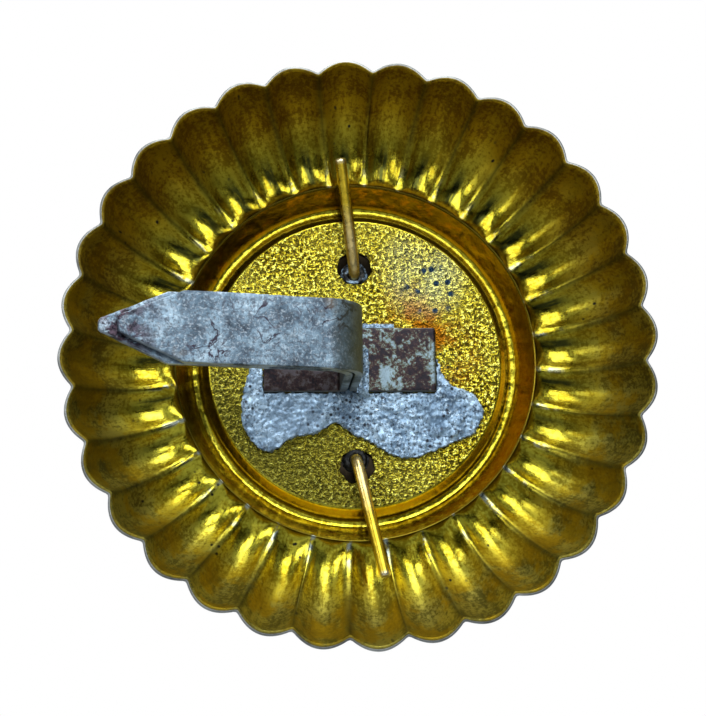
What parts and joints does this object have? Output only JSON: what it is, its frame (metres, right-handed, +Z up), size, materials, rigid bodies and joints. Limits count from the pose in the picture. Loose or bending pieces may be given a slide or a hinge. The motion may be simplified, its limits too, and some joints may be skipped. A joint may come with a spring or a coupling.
{
  "type": "cap badge",
  "caption": "Round fluted cap cockade pressed from thin brass, open at the back, with folded steel prongs soldered to its floor and a plain boss on the front held by bent brass wires.",
  "frame": {"origin": "centre of the flat cut edge of the rosette, which seats against the cap", "axes": "+Y out of the open back, -Y out of the front, +Z up as worn, prongs folded over toward +X"},
  "size_m": [0.033, 0.0134, 0.033],
  "materials": {
    "lacquered_brass": "gold-coloured lacquer on the back, bare and silvery on the front and cut edge",
    "silvered_brass": "dull silvered",
    "wire_brass": "drawn, partly lacquered",
    "prong_steel": "dull tinned, mottled and partly rusted",
    "solder": "dull grey soft solder"
  },
  "bodies": {
    "badge": {"rosette_shell": "lacquered_brass", "front_emblem": "silvered_brass", "wire_solder": "solder", "upper_wire_stem": "wire_brass", "upper_wire_bend": "wire_brass", "lower_wire_stem": "wire_brass", "lower_wire_bend": "wire_brass", "inner_prong_foot": "prong_steel", "inner_prong_bend": "prong_steel", "outer_prong_foot": "prong_steel", "outer_prong_bend": "prong_steel", "prong_solder": "solder", "top_solder_seam": "solder"},
    "outer_prong": {"outer_prong_leg": "prong_steel"},
    "inner_prong": {"inner_prong_leg": "prong_steel"},
    "upper_tail": {"upper_wire_tail": "wire_brass"},
    "lower_tail": {"lower_wire_tail": "wire_brass"}
  },
  "joints": [
    {"name": "outer_prong_fold", "type": "hinge", "parent": "badge", "child": "outer_prong", "pos_m": [0.0024, 0.00046, 0], "axis": [0, 0, 1], "range_deg": [-12, 77], "deforming": ["outer_prong_bend"]},
    {"name": "inner_prong_fold", "type": "hinge", "parent": "badge", "child": "inner_prong", "pos_m": [0.0024, 0.00046, 0], "axis": [0, 0, 1], "range_deg": [-12, 77], "deforming": ["inner_prong_bend"]},
    {"name": "upper_wire_fold", "type": "hinge", "parent": "badge", "child": "upper_tail", "pos_m": [0.00012, -0.00526, 0.00609], "axis": [-0.9919, 0, 0.1271], "range_deg": [0, 80], "deforming": ["upper_wire_bend"]},
    {"name": "lower_wire_fold", "type": "hinge", "parent": "badge", "child": "lower_tail", "pos_m": [-0.00009, -0.00519, -0.00648], "axis": [0.9781, 0, -0.2079], "range_deg": [0, 80], "deforming": ["lower_wire_bend"]}
  ],
  "couplings": [
    {"joint": "inner_prong_fold", "follows": "outer_prong_fold", "ratio": 1}
  ]
}
